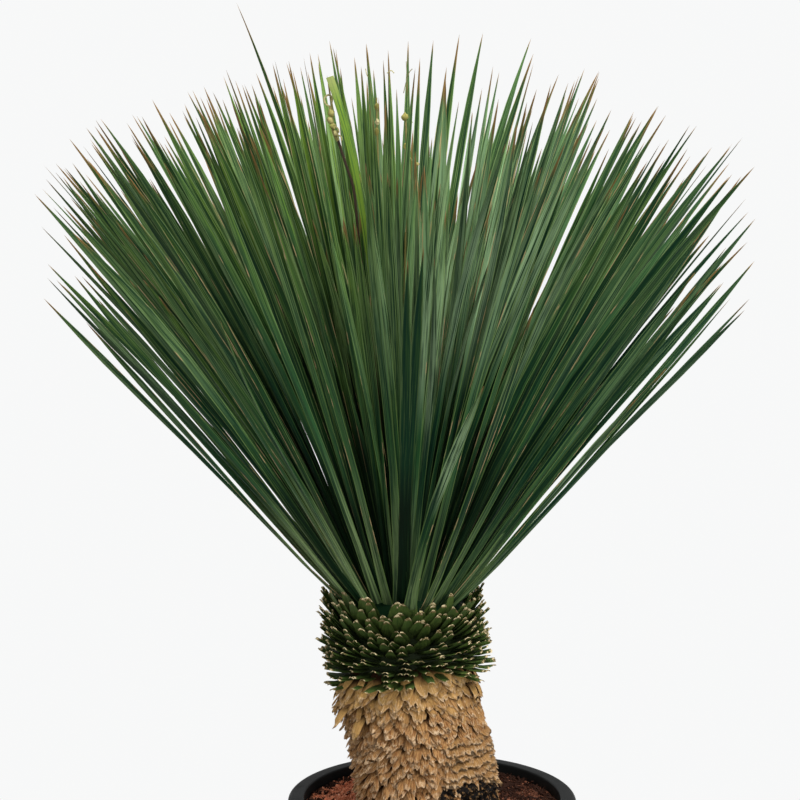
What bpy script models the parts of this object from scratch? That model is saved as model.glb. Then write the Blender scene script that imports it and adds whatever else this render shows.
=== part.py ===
# A potted yucca: a thick-rimmed pot, bark soil, a leaning trunk wrapped in old leaf bases, and stiff blades
# that fan from its top. Metres, +Z up. The origin is the centre of the pot's underside, and -Y is the front.

import math
import random

import bmesh
import bpy
from mathutils import Matrix, Vector

# Driving dimensions of the pot
POT_HEIGHT = 0.300
RIM_RADIUS = 0.180
RIM_WIDTH = 0.020
LIP_DROP = 0.026
LIP_BEVEL = 0.002
RIM_SHOULDER = 0.006
RIM_INNER_EDGE = 0.002
WALL = 0.006
BASE_RADIUS = 0.128
BASE_BEVEL = 0.004
FLOOR = 0.008
ROUND_STEPS = 40
SHOULDER_STEPS = 4
INNER_EDGE_STEPS = 2
DRAIN_COUNT = 6
DRAIN_RADIUS = 0.007
DRAIN_CIRCLE = 0.085
DRAIN_SIDES = 10

# Driving dimensions of the soil
GAP = 0.0003
SOIL_BELOW_RIM = 0.013
SOIL_MOUND = 0.007
SOIL_BUMP = 0.0022
SOIL_RINGS = (0.144, 0.127, 0.110, 0.094)
# Waves that ruffle the soil: radians per metre along X and along Y, and share of the bump
SOIL_WAVES = ((61, 17, 0.6), (-23, 47, 0.6), (113, -89, 0.5))
PLANT_DEPTH = 0.100

# Driving dimensions of the trunk, whose axis leans towards -X as it rises
TRUNK_RADIUS = 0.076
TRUNK_STEPS = 20
TRUNK_CORE_RINGS = 5
GREEN_CORE_RINGS = 3
LEAN = -0.037
TAN_HEIGHT = 0.151
GREEN_HEIGHT = 0.089

# Dead tan leaf bases, which hang down the lower trunk
TAN_ROWS = 7
TAN_PER_ROW = 18
TAN_LENGTH = 0.040
TAN_WIDTH = 0.0225
TAN_THICK = 0.0055
TAN_SINK = 0.010
TAN_FLARE = math.radians(27)
TAN_FLARE_JITTER = math.radians(6)
TAN_TURN_JITTER = math.radians(3)
TAN_SHORTEST = 0.84
TAN_WIDEST_AT = 0.55

# Trimmed green leaf bases, which fan from level at the bottom of the band to steep at its top
GREEN_ROWS = 7
GREEN_PER_ROW = 18
GREEN_LOW_LENGTH = 0.032
GREEN_HIGH_LENGTH = 0.041
GREEN_WIDTH = 0.023
GREEN_TIP_WIDTH = 0.010
GREEN_THICK = 0.0065
GREEN_SINK = 0.012
GREEN_LOW_PITCH = math.radians(-6)
GREEN_HIGH_PITCH = math.radians(56)
GREEN_TOP_DROP = 0.008
GREEN_FIRST_RISE = 0.0105
GREEN_TURN_JITTER = math.radians(2.3)
GREEN_SHORTEST = 0.84
GREEN_TIP_THICK = 0.003

# Blades, which spread from one point below the top of the trunk
BLADE_COUNT = 240
FAN_HALF_ANGLE = math.radians(39)
FAN_POINT_DEPTH = 0.088
DOME_RADIUS = 0.125
DOME_EDGE = 0.080
DOME_RINGS = 3
BLADE_SINK = 0.022
ROOT_CLEARANCE = 0.005
BLADE_LENGTH = 0.655
BLADE_LENGTH_SPREAD = 0.04
OUTER_SHORTENING = 0.24
SHORTENING_POWER = 6
BLADE_ARCH = math.radians(3.5)
BLADE_ARCH_LEAST = 0.85
BLADE_TWIST = math.radians(24)
INNER_TWIST = 1.2
OUTER_TWIST_LOSS = 0.8
BLADE_TURN_JITTER = math.radians(1.1)
BLADE_WIDTH = 0.0125
BLADE_KEEL = 0.0022
# Each row of a blade: share of its length, share of its full width, share of its full keel
BLADE_STATIONS = ((0.0, 0.6, 1.0), (0.15, 0.92, 1.0), (0.5, 1.0, 1.0), (0.8, 0.62, 0.75))
TALL_BLADE_LENGTH = 0.722
TALL_BLADE_ANGLE = math.radians(12.5)
TALL_BLADE_TURN = math.pi
TALL_BLADE_TWIST = math.radians(17)

# Spent flower stalks among the blades: name, lean from the vertical, direction round the trunk, length
FLOWER_STALKS = (
    ("left", math.radians(8.0), math.radians(192), 0.610),
    ("middle", math.radians(2.5), math.radians(262), 0.580),
)
STALK_WIDTH = 0.006
STALK_KEEL = 0.005
BUD_COUNT = 6
BUD_LENGTH = 0.016
BUD_RADIUS = 0.0045
BUD_STRETCH = 0.16
BUD_LEAN = math.radians(34)
BUD_SEAT = (0.25, 0.40)

GOLDEN_ANGLE = math.pi * (3 - math.sqrt(5))
SEED = 41
WELD = 1e-5
SMOOTH_ANGLE = math.radians(35)
UP = Vector((0, 0, 1))

SOIL_EDGE_Z = POT_HEIGHT - SOIL_BELOW_RIM
SOIL_Z = SOIL_EDGE_Z + SOIL_MOUND
TAN_TOP_Z = SOIL_Z + TAN_HEIGHT
CROWN_Z = TAN_TOP_Z + GREEN_HEIGHT
INNER_TOP_RADIUS = RIM_RADIUS - RIM_WIDTH
INNER_FLOOR_RADIUS = BASE_RADIUS - WALL


def clear_scene():
    for obj in list(bpy.data.objects):
        bpy.data.objects.remove(obj)


def material(name, colour, roughness, metallic=0.0):
    made = bpy.data.materials.new(name)
    made.use_nodes = True
    shader = made.node_tree.nodes["Principled BSDF"]
    shader.inputs["Base Color"].default_value = (*colour, 1.0)
    shader.inputs["Roughness"].default_value = roughness
    shader.inputs["Metallic"].default_value = metallic
    return made


def add_object(name, bm, finish=None):
    mesh = bpy.data.meshes.new(name)
    bm.to_mesh(mesh)
    bm.free()
    obj = bpy.data.objects.new(name, mesh)
    bpy.context.scene.collection.objects.link(obj)
    if finish:
        mesh.materials.append(finish)
    return obj


def lathe(outline, steps):
    """A closed body turned from an outline of (radius, height) points that starts and ends on the axis."""
    bm = bmesh.new()
    verts = [bm.verts.new((radius, 0, height)) for radius, height in outline]
    edges = [bm.edges.new(pair) for pair in zip(verts, verts[1:])]
    bmesh.ops.spin(
        bm, geom=verts + edges, cent=(0, 0, 0), axis=UP, angle=math.tau, steps=steps, use_merge=True
    )
    bmesh.ops.remove_doubles(bm, verts=bm.verts, dist=WELD)
    bmesh.ops.recalc_face_normals(bm, faces=bm.faces)
    return bm


def smooth(obj):
    obj.data.shade_smooth()
    obj.data.set_sharp_from_angle(angle=SMOOTH_ANGLE)


def inner_radius(height):
    """Radius of the pot's inner wall at a height."""
    share = (height - FLOOR) / (POT_HEIGHT - LIP_DROP - FLOOR)
    return INNER_FLOOR_RADIUS + (INNER_TOP_RADIUS - INNER_FLOOR_RADIUS) * min(share, 1.0)


def rounded_edge(middle_radius, edge_radius, start, steps):
    """Points of a quarter round edge at the rim's top, from outside to inside."""
    points = []
    for step in range(steps + 1):
        turn = start + math.pi / 2 * step / steps
        height = POT_HEIGHT - edge_radius + edge_radius * math.sin(turn)
        points.append((middle_radius + edge_radius * math.cos(turn), height))
    return points


def make_pot():
    under_lip = POT_HEIGHT - LIP_DROP
    outline = [
        (0, 0),
        (BASE_RADIUS - BASE_BEVEL, 0),
        (BASE_RADIUS, BASE_BEVEL),
        (inner_radius(under_lip) + WALL, under_lip),
        (RIM_RADIUS - LIP_BEVEL, under_lip),
        (RIM_RADIUS, under_lip + LIP_BEVEL),
    ]
    outline += rounded_edge(RIM_RADIUS - RIM_SHOULDER, RIM_SHOULDER, 0.0, SHOULDER_STEPS)
    outline += rounded_edge(INNER_TOP_RADIUS + RIM_INNER_EDGE, RIM_INNER_EDGE, math.pi / 2, INNER_EDGE_STEPS)
    outline += [(inner_radius(under_lip), under_lip), (INNER_FLOOR_RADIUS, FLOOR), (0, FLOOR)]
    finish = material("pot_plastic", (0.018, 0.019, 0.021), 0.55)
    pot = add_object("pot", lathe(outline, ROUND_STEPS), finish)
    cutters = bpy.data.collections.new("drain_cutters")
    bpy.context.scene.collection.children.link(cutters)
    for index in range(DRAIN_COUNT):
        place = outward(math.tau * (index + 0.5) / DRAIN_COUNT) * DRAIN_CIRCLE
        bm = bmesh.new()
        bmesh.ops.create_cone(
            bm,
            cap_ends=True,
            segments=DRAIN_SIDES,
            radius1=DRAIN_RADIUS,
            radius2=DRAIN_RADIUS,
            depth=FLOOR * 3,
            matrix=Matrix.Translation(place + UP * FLOOR / 2),
        )
        move_to(add_object(f"drain_{index}", bm), cutters)
    apply_collection_boolean(pot, cutters, "DIFFERENCE")
    smooth(pot)


def move_to(obj, collection):
    bpy.context.scene.collection.objects.unlink(obj)
    collection.objects.link(obj)


def apply_collection_boolean(target, collection, operation):
    """Cuts or joins everything in the collection at once, then removes the collection's objects."""
    modifier = target.modifiers.new("repeats", "BOOLEAN")
    modifier.operand_type = "COLLECTION"
    modifier.collection = collection
    modifier.operation = operation
    modifier.solver = "MANIFOLD"
    graph = bpy.context.evaluated_depsgraph_get()
    result = bpy.data.meshes.new_from_object(target.evaluated_get(graph))
    target.modifiers.remove(modifier)
    target.data = result
    for obj in list(collection.objects):
        bpy.data.objects.remove(obj)
    bpy.data.collections.remove(collection)


def keep_outer_shell(mesh):
    """Fills the pockets that fusing sealed and drops loose scraps: only the largest closed shell stays."""
    bm = bmesh.new()
    bm.from_mesh(mesh)
    waiting = set(bm.faces)
    shells = []
    while waiting:
        found = [waiting.pop()]
        for face in found:
            near = {other for edge in face.edges for other in edge.link_faces} & waiting
            found += near
            waiting -= near
        shells.append(found)
    shells.sort(key=lambda shell: sum(face.calc_area() for face in shell))
    bmesh.ops.delete(bm, geom=[face for shell in shells[:-1] for face in shell], context="FACES")
    bm.to_mesh(mesh)
    bm.free()


def soil_bump(x, y):
    """Rise and fall of the loose bark, the same each time."""
    waves = [share * math.sin(by_x * x + by_y * y) for by_x, by_y, share in SOIL_WAVES]
    return SOIL_BUMP * sum(waves)


def make_soil():
    hole = TRUNK_RADIUS / math.cos(math.pi / TRUNK_STEPS) + GAP
    bottom = FLOOR + GAP
    outline = [(0, bottom), (inner_radius(bottom) - 2 * GAP, bottom)]
    outline.append((inner_radius(SOIL_EDGE_Z) - 2 * GAP, SOIL_EDGE_Z))
    for radius in SOIL_RINGS:
        share = (INNER_TOP_RADIUS - radius) / (INNER_TOP_RADIUS - hole)
        outline.append((radius, SOIL_EDGE_Z + SOIL_MOUND * share))
    outline += [(hole, SOIL_Z), (hole, SOIL_Z - PLANT_DEPTH - GAP), (0, SOIL_Z - PLANT_DEPTH - GAP)]
    bm = lathe(outline, ROUND_STEPS)
    for vert in bm.verts:
        radius = math.hypot(vert.co.x, vert.co.y)
        if SOIL_RINGS[-1] - GAP < radius < SOIL_RINGS[0] + GAP and vert.co.z > SOIL_EDGE_Z - GAP:
            vert.co.z += soil_bump(vert.co.x, vert.co.y)
    smooth(add_object("soil", bm, material("bark_soil", (0.085, 0.032, 0.018), 0.95)))


def lean_at(height):
    """Sideways place of the trunk's axis at a height."""
    share = min(max((height - SOIL_Z) / (CROWN_Z - SOIL_Z), 0.0), 1.0)
    return LEAN * share * share * (3 - 2 * share)


def trunk_core(low, high, rings):
    """A stretch of the leaning trunk between two heights, with flat ends."""
    outline = [(0, low)]
    outline += [(TRUNK_RADIUS, low + (high - low) * ring / (rings - 1)) for ring in range(rings)]
    outline.append((0, high))
    bm = lathe(outline, TRUNK_STEPS)
    for vert in bm.verts:
        vert.co.x += lean_at(vert.co.z)
    return bm


def tapered_bar(name, rows, point=None):
    """A closed three-sided bar through rows of (centre, side, ridge way, half width, thickness).

    It ends in a point, or in a flat cut where none is given.
    """
    bm = bmesh.new()
    loops = []
    for centre, side, ridge, half, thick in rows:
        corners = (centre - side * half, centre + side * half, centre + ridge * thick)
        loops.append([bm.verts.new(corner) for corner in corners])
    bm.faces.new(reversed(loops[0]))
    for first, second in zip(loops, loops[1:]):
        for a, b in ((0, 1), (1, 2), (2, 0)):
            bm.faces.new((first[a], first[b], second[b], second[a]))
    if point is None:
        bm.faces.new(loops[-1])
    else:
        tip = bm.verts.new(point)
        for a, b in ((0, 1), (1, 2), (2, 0)):
            bm.faces.new((loops[-1][a], loops[-1][b], tip))
    bmesh.ops.recalc_face_normals(bm, faces=bm.faces)
    return add_object(name, bm)


def joined(name, core, pieces, finish):
    """One node: the core with its repeats fused to it."""
    node = add_object(name, core, finish)
    repeats = bpy.data.collections.new(name + "_repeats")
    bpy.context.scene.collection.children.link(repeats)
    for piece in pieces:
        move_to(piece, repeats)
    apply_collection_boolean(node, repeats, "UNION")
    keep_outer_shell(node.data)
    smooth(node)


def outward(turn):
    return Vector((math.cos(turn), math.sin(turn), 0))


def make_trunk(rng):
    """The lower trunk: dead leaf bases hang over each other like shingles."""
    lowest = SOIL_Z + SOIL_BUMP + TAN_LENGTH * math.cos(TAN_FLARE)
    highest = TAN_TOP_Z - TAN_SINK - TAN_THICK
    scales = []
    for row in range(TAN_ROWS):
        root_z = lowest + (highest - lowest) * row / (TAN_ROWS - 1)
        for index in range(TAN_PER_ROW):
            turn = math.tau * (index + row / 2) / TAN_PER_ROW + rng.uniform(-TAN_TURN_JITTER, TAN_TURN_JITTER)
            flare = TAN_FLARE + rng.uniform(-TAN_FLARE_JITTER, TAN_FLARE_JITTER)
            out, side = outward(turn), outward(turn + math.pi / 2)
            along = out * math.sin(flare) - UP * math.cos(flare)
            ridge = along.cross(side)
            root = Vector((lean_at(root_z), 0, root_z)) + out * TRUNK_RADIUS
            length = TAN_LENGTH * rng.uniform(TAN_SHORTEST, 1.0)
            rows = (
                (root - along * TAN_SINK, side, ridge, TAN_WIDTH / 2, TAN_THICK),
                (root + along * length * TAN_WIDEST_AT, side, ridge, TAN_WIDTH / 2, TAN_THICK),
            )
            scales.append(tapered_bar(f"tan_{row}_{index}", rows, root + along * length))
    core = trunk_core(SOIL_Z - PLANT_DEPTH, TAN_TOP_Z, TRUNK_CORE_RINGS)
    joined("trunk_tan_leaf_bases", core, scales, material("dry_leaf_base", (0.42, 0.26, 0.12), 0.85))


def make_green_band(rng):
    """The upper trunk: green leaf bases cut short, in rows that steepen towards the blades."""
    low = TAN_TOP_Z + GAP
    first = low + GREEN_FIRST_RISE
    last = CROWN_Z - GREEN_TOP_DROP
    stubs = []
    for row in range(GREEN_ROWS):
        share = row / (GREEN_ROWS - 1)
        root_z = first + (last - first) * share
        pitch = GREEN_LOW_PITCH + (GREEN_HIGH_PITCH - GREEN_LOW_PITCH) * share
        full_length = GREEN_LOW_LENGTH + (GREEN_HIGH_LENGTH - GREEN_LOW_LENGTH) * share
        for index in range(GREEN_PER_ROW):
            jitter = rng.uniform(-GREEN_TURN_JITTER, GREEN_TURN_JITTER)
            turn = math.tau * (index + row / 2) / GREEN_PER_ROW + jitter
            out, side = outward(turn), outward(turn + math.pi / 2)
            along = out * math.cos(pitch) + UP * math.sin(pitch)
            ridge = side.cross(along)
            root = Vector((lean_at(root_z), 0, root_z)) + out * TRUNK_RADIUS
            length = full_length * rng.uniform(GREEN_SHORTEST, 1.0)
            rows = (
                (root - along * GREEN_SINK, side, ridge, GREEN_WIDTH / 2, GREEN_THICK),
                (root + along * length, side, ridge, GREEN_TIP_WIDTH / 2, GREEN_TIP_THICK),
            )
            stubs.append(tapered_bar(f"green_{row}_{index}", rows))
    finish = material("green_leaf_base", (0.035, 0.075, 0.018), 0.6)
    joined("green_leaf_bases", trunk_core(low, CROWN_Z, GREEN_CORE_RINGS), stubs, finish)


def fan_point():
    """The point below the trunk's top from which the blades spread."""
    return Vector((lean_at(CROWN_Z), 0, CROWN_Z - FAN_POINT_DEPTH))


def dome():
    """The low cap of stem that the blades grow from."""
    start = fan_point()
    base_z = CROWN_Z + GAP
    edge = math.asin(DOME_EDGE / DOME_RADIUS)
    outline = [(0, base_z), (DOME_EDGE, base_z)]
    for ring in range(DOME_RINGS):
        angle = edge * (1 - ring / DOME_RINGS)
        outline.append((DOME_RADIUS * math.sin(angle), start.z + DOME_RADIUS * math.cos(angle)))
    outline.append((0, start.z + DOME_RADIUS))
    bm = lathe(outline, TRUNK_STEPS)
    bmesh.ops.translate(bm, verts=bm.verts, vec=(start.x, 0, 0))
    return bm


def blade_point(angle, turn, arch, distance):
    """A point of a blade's middle line and its heading, a given distance out from the fan point."""
    reach = distance / (DOME_RADIUS + BLADE_LENGTH)
    bent = angle + arch * reach * reach
    heading = bent + arch * reach
    out = outward(turn)
    place = fan_point() + distance * (out * math.sin(bent) + UP * math.cos(bent))
    return place, out * math.sin(heading) + UP * math.cos(heading)


def make_blade(name, angle, turn, length, arch, twist, width=BLADE_WIDTH, keel=BLADE_KEEL):
    """One stiff blade: flat above, keeled below, and drawn out to a fine point."""
    rows = []
    tip_distance = DOME_RADIUS + length
    start = max(DOME_RADIUS - BLADE_SINK, (FAN_POINT_DEPTH + ROOT_CLEARANCE) / math.cos(angle))
    for share, wide, deep in BLADE_STATIONS:
        place, along = blade_point(angle, turn, arch, start + (tip_distance - start) * share)
        side = Matrix.Rotation(twist * share, 3, along) @ outward(turn + math.pi / 2)
        ridge = side.cross(along).normalized()
        rows.append((place, side, ridge, width / 2 * wide, keel * deep))
    tip, _ = blade_point(angle, turn, arch, tip_distance)
    return tapered_bar(name, rows, tip)


def make_flower_stalk(name, angle, turn, length, rng):
    """A spent stalk, as a slim keeled stem with a few closed buds round its top."""
    parts = [make_blade(f"stalk_{name}", angle, turn, length, 0.0, 0.0, STALK_WIDTH, STALK_KEEL)]
    for bud in range(BUD_COUNT):
        distance = DOME_RADIUS + length * (1 - BUD_STRETCH * (bud + 1) / BUD_COUNT)
        place, along = blade_point(angle, turn, 0.0, distance)
        lean = outward(bud * GOLDEN_ANGLE) * math.sin(BUD_LEAN) + along * math.cos(BUD_LEAN)
        bm = bmesh.new()
        bmesh.ops.create_icosphere(bm, subdivisions=1, radius=1.0)
        bmesh.ops.scale(bm, verts=bm.verts, vec=(BUD_RADIUS, BUD_RADIUS, BUD_LENGTH / 2))
        turned = UP.rotation_difference(lean).to_matrix().to_4x4()
        seat = Matrix.Translation(place + lean * BUD_LENGTH * rng.uniform(*BUD_SEAT))
        bmesh.ops.transform(bm, verts=bm.verts, matrix=seat @ turned)
        parts.append(add_object(f"bud_{name}_{bud}", bm))
    return parts


def make_crown(rng):
    """The fan: blades in golden-angle order, oldest and lowest first, all fused to the dome."""
    blades = []
    for index in range(BLADE_COUNT):
        share = (index + 0.5) / BLADE_COUNT
        angle = math.acos(1 - (1 - share) * (1 - math.cos(FAN_HALF_ANGLE)))
        outerness = angle / FAN_HALF_ANGLE
        length = BLADE_LENGTH * (1 - OUTER_SHORTENING * outerness**SHORTENING_POWER)
        length *= 1 + rng.uniform(-BLADE_LENGTH_SPREAD, BLADE_LENGTH_SPREAD)
        arch = BLADE_ARCH * outerness * rng.uniform(BLADE_ARCH_LEAST, 1.0)
        twist = rng.uniform(-BLADE_TWIST, BLADE_TWIST) * (INNER_TWIST - OUTER_TWIST_LOSS * outerness)
        turn = index * GOLDEN_ANGLE + rng.uniform(-BLADE_TURN_JITTER, BLADE_TURN_JITTER)
        blades.append(make_blade(f"blade_{index}", angle, turn, length, arch, twist))
    blades.append(
        make_blade("blade_tall", TALL_BLADE_ANGLE, TALL_BLADE_TURN, TALL_BLADE_LENGTH, 0.0, TALL_BLADE_TWIST)
    )
    for name, angle, turn, length in FLOWER_STALKS:
        blades += make_flower_stalk(name, angle, turn, length, rng)
    joined("leaf_crown", dome(), blades, material("leaf", (0.030, 0.085, 0.030), 0.5))


def main():
    clear_scene()
    rng = random.Random(SEED)
    make_pot()
    make_soil()
    make_trunk(rng)
    make_green_band(rng)
    make_crown(rng)


main()
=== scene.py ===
import math
import random

import bmesh
import bpy
from mathutils import Matrix, Vector, noise


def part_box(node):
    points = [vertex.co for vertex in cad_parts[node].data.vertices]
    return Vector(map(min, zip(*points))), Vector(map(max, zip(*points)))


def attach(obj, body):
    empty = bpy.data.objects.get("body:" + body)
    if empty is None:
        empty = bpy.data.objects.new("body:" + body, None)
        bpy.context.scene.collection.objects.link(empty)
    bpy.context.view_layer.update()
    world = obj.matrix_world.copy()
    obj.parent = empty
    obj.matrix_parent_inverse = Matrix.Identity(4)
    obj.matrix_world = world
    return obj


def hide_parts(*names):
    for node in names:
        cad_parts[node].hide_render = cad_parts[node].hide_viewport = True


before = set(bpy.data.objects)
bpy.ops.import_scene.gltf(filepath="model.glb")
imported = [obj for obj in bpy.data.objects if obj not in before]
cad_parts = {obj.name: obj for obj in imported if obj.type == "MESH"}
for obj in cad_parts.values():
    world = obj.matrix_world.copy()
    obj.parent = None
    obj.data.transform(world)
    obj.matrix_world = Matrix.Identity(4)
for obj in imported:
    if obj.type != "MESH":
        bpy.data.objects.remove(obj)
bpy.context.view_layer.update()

up = Vector((0, 0, 1))
goldenAngle = math.pi * (3 - math.sqrt(5))
noise.seed_set(4)  # left unseeded, noise_vector would give another result each run

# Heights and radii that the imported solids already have, in metres
gap = 0.0003  # clearance between one solid and the next
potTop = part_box("pot")[1].z
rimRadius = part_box("pot")[1].x
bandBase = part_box("green_leaf_bases")[0].z - gap
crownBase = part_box("leaf_crown")[0].z - gap
soilEdge = potTop - 0.013  # the soil at the pot's wall
soilTop = potTop - 0.006  # the soil at the trunk
trunk = {
    "lean": -0.037,  # how far the trunk's top stands left of the pot's axis
    "radius": 0.076,  # under the leaf bases
    "planted": 0.100,  # depth below the soil
    "steps": 48,
    "edgeLift": 0.012,  # from the green solid's underside to the lowest green bases
    "edgeTilt": 0.010,  # how much higher that line runs at the front and at the right
    "edgeWave": 0.004,
}


def limited(value):
    return min(max(value, 0), 1)


def blend(first, second, share):
    return first + (second - first) * share


def between(stops, at):
    # the value at a place along a short list of (place, value) stops
    for (low, first), (high, second) in zip(stops, stops[1:]):
        if at <= high:
            return first + (second - first) * (at - low) / (high - low)
    return stops[-1][1]


def outward(turn):
    return Vector((math.cos(turn), math.sin(turn), 0))


def trunkAxis(height):
    # the middle of the leaning trunk at a height
    share = limited((height - soilTop) / (crownBase - soilTop))
    return Vector((trunk["lean"] * share * share * (3 - 2 * share), 0, height))


def bandEdge(turn):
    # height of the wavy line where green leaf bases give way to dead ones
    tilt = trunk["edgeTilt"]
    edge = bandBase + trunk["edgeLift"] + tilt * math.cos(turn) - tilt * math.sin(turn)
    return edge + trunk["edgeWave"] * math.sin(5 * turn + 1.0)


# Shader maths

class Wire:
    # one output of a node, so that a finish's maths reads as plain expressions
    def __init__(self, tree, socket):
        self.tree = tree
        self.socket = socket

    def math(self, operation, *values):
        return self.tree.node("ShaderNodeMath", {"operation": operation}, dict(enumerate(values)))

    def step(self, low, high):
        # 0 below low, 1 above high and smooth between
        return self.tree.node("ShaderNodeMapRange", {"interpolation_type": "SMOOTHSTEP"}, {
            "Value": self, "From Min": low, "From Max": high})

    def __add__(self, other):
        return self.math("ADD", self, other)

    def __sub__(self, other):
        return self.math("SUBTRACT", self, other)

    def __rsub__(self, other):
        return self.math("SUBTRACT", other, self)

    def __mul__(self, other):
        return self.math("MULTIPLY", self, other)

    def __pow__(self, other):
        return self.math("POWER", self, other)

    def __abs__(self):
        return self.math("ABSOLUTE", self)

    __radd__ = __add__
    __rmul__ = __mul__


class Tree:
    # makes and joins the nodes of one node tree
    def __init__(self, tree):
        self.tree = tree

    def feed(self, socket, value):
        if isinstance(value, Wire):
            self.tree.links.new(value.socket, socket)
        elif isinstance(value, tuple) and socket.type == "RGBA":
            socket.default_value = (*value, 1)
        else:
            socket.default_value = value

    def node(self, kind, settings=None, inputs=None, output=0):
        made = self.tree.nodes.new(kind)
        for name, value in (settings or {}).items():
            setattr(made, name, value)
        for name, value in (inputs or {}).items():
            self.feed(made.inputs[name], value)
        return Wire(self, made.outputs[output])

    def split(self, vector):
        parts = self.node("ShaderNodeSeparateXYZ", inputs={0: vector}).socket.node.outputs
        return [Wire(self, part) for part in parts]

    def attribute(self, name):
        # the three numbers of a point attribute
        return self.split(self.node("ShaderNodeAttribute", {"attribute_name": name}, output="Vector"))

    def vector(self, x, y, z):
        return self.node("ShaderNodeCombineXYZ", inputs={0: x, 1: y, 2: z})

    def place(self):
        return self.node("ShaderNodeTexCoord", output="Object")

    def stretched(self, vector, scale):
        return self.node("ShaderNodeMapping", inputs={"Vector": vector, "Scale": scale})

    def noise(self, vector, scale, detail, roughness):
        return self.node("ShaderNodeTexNoise", inputs={
            "Vector": vector, "Scale": scale, "Detail": detail, "Roughness": roughness})


class Finish(Tree):
    # a material round one Principled shader: its colour is built up in coats from a palette
    def __init__(self, name, palette, ground, **uniform):
        self.material = bpy.data.materials.new(name)
        self.material.use_nodes = True
        super().__init__(self.material.node_tree)
        self.shader = self.tree.nodes["Principled BSDF"]
        self.palette = palette
        self.colour = palette[ground]
        self.give(**uniform)

    def give(self, **sockets):
        for name, value in sockets.items():
            self.feed(self.shader.inputs[name.replace("_", " ")], value)
        return self.material

    def mix(self, amount, *colours):
        # two colours, each a name from the palette, three numbers or a wire
        first, second = (self.palette[colour] if isinstance(colour, str) else colour for colour in colours)
        return self.node("ShaderNodeMix", {"data_type": "RGBA"}, {0: amount, 6: first, 7: second}, output=2)

    def coat(self, amount, colour):
        self.colour = self.mix(amount, self.colour, colour)

    def complete(self, roughness, relief, depth, strength):
        bump = self.node("ShaderNodeBump", inputs={"Height": relief, "Distance": depth, "Strength": strength})
        return self.give(Base_Color=self.colour, Roughness=roughness, Normal=bump)


# Meshes

def emptyMesh():
    bm = bmesh.new()
    bm.verts.layers.float_vector.new("spot")  # place across and along a leaf, scale or chip, and its number
    bm.verts.layers.float_vector.new("tone")  # what makes one leaf, scale or chip differ from the next
    return bm


def toMesh(bm, name="template"):
    mesh = bpy.data.meshes.new(name)
    bm.to_mesh(mesh)
    bm.free()
    return mesh


def intoScene(name, content):
    thing = bpy.data.objects.new(name, content)
    bpy.context.scene.collection.objects.link(thing)
    return thing


def addPiece(name, bm, material, slot, *replaced, sharp=None):
    mesh = toMesh(bm, name)
    mesh.materials.append(material)
    mesh.shade_smooth()
    if sharp is not None:
        mesh.set_sharp_from_angle(angle=math.radians(sharp))
    piece = intoScene(name, mesh)
    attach(piece, "root")
    if replaced:
        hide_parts(*replaced)
    print(f"{name}: {sum(len(face.vertices) - 2 for face in mesh.polygons)} triangles")
    return piece


def grownBar(section, shares, pointed=False):
    # a straight closed bar: the section's face is extruded through the shares of a unit length
    bm = bmesh.new()
    end = bm.faces.new([bm.verts.new((x, y, shares[0])) for x, y in section])
    for low, high in zip(shares, shares[1:]):
        grown = bmesh.ops.extrude_face_region(bm, geom=[end])["geom"]
        moved = [item for item in grown if isinstance(item, bmesh.types.BMVert)]
        end = next(item for item in grown if isinstance(item, bmesh.types.BMFace))
        bmesh.ops.translate(bm, verts=moved, vec=(0, 0, high - low))
    if pointed:
        bmesh.ops.pointmerge(bm, verts=list(end.verts), merge_co=(0, 0, shares[-1]))
    bmesh.ops.recalc_face_normals(bm, faces=bm.faces)
    return toMesh(bm)


def addCopy(bunch, template, shape, number, tone):
    # one copy of a template in a bunch: shape() moves its points, which keep where they lay on the template
    bm = emptyMesh()
    bm.from_mesh(template)
    spotLayer = bm.verts.layers.float_vector["spot"]
    toneLayer = bm.verts.layers.float_vector["tone"]
    for vert in bm.verts:
        across, over, along = vert.co
        vert[spotLayer] = (across, along, number)
        vert[toneLayer] = tone
        vert.co = shape(across, over, along)
    bmesh.ops.recalc_face_normals(bm, faces=bm.faces)
    placed = toMesh(bm, "placed")
    bunch.from_mesh(placed)
    bpy.data.meshes.remove(placed)


def lathe(bm, outline, steps, centre=(0, 0, 0), tone=(0, 0, 0)):
    # an outline of (radius, height) points turned round an upright axis
    verts = [bm.verts.new((centre[0] + radius, centre[1], height)) for radius, height in outline]
    edges = [bm.edges.new(pair) for pair in zip(verts, verts[1:])]
    bmesh.ops.spin(bm, geom=verts + edges, cent=centre, axis=up, angle=math.tau, steps=steps, use_merge=True)
    bmesh.ops.remove_doubles(bm, verts=bm.verts, dist=1e-5)
    bmesh.ops.recalc_face_normals(bm, faces=bm.faces)
    toneLayer = bm.verts.layers.float_vector["tone"]
    for vert in bm.verts:
        vert[toneLayer] = tone


# Pot

potColours = {
    "plastic": (0.006, 0.007, 0.007),
    "worn": (0.024, 0.024, 0.023),
    "speck": (0.060, 0.058, 0.054),
    "scuff": (0.12, 0.11, 0.10),
}
potSizes = {
    "rimWidth": 0.020,
    "shoulder": 0.006,  # radius of the rim's rounded outer edge
    "innerEdge": 0.002,
    "lipDrop": 0.026,  # from the rim's top to the underside of its turned-down edge
    "lipEdge": 0.0015,
    "wall": 0.006,
    "baseRadius": 0.128,
    "footWidth": 0.016,  # of the ring that it stands on
    "footEdge": 0.004,
    "recess": 0.002,  # of the underside inside that ring
    "floor": 0.008,
    "steps": 144,
    "edgeSteps": 8,
    "drainCount": 6,
    "drainRadius": 0.007,
    "drainCircle": 0.085,
}


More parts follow.
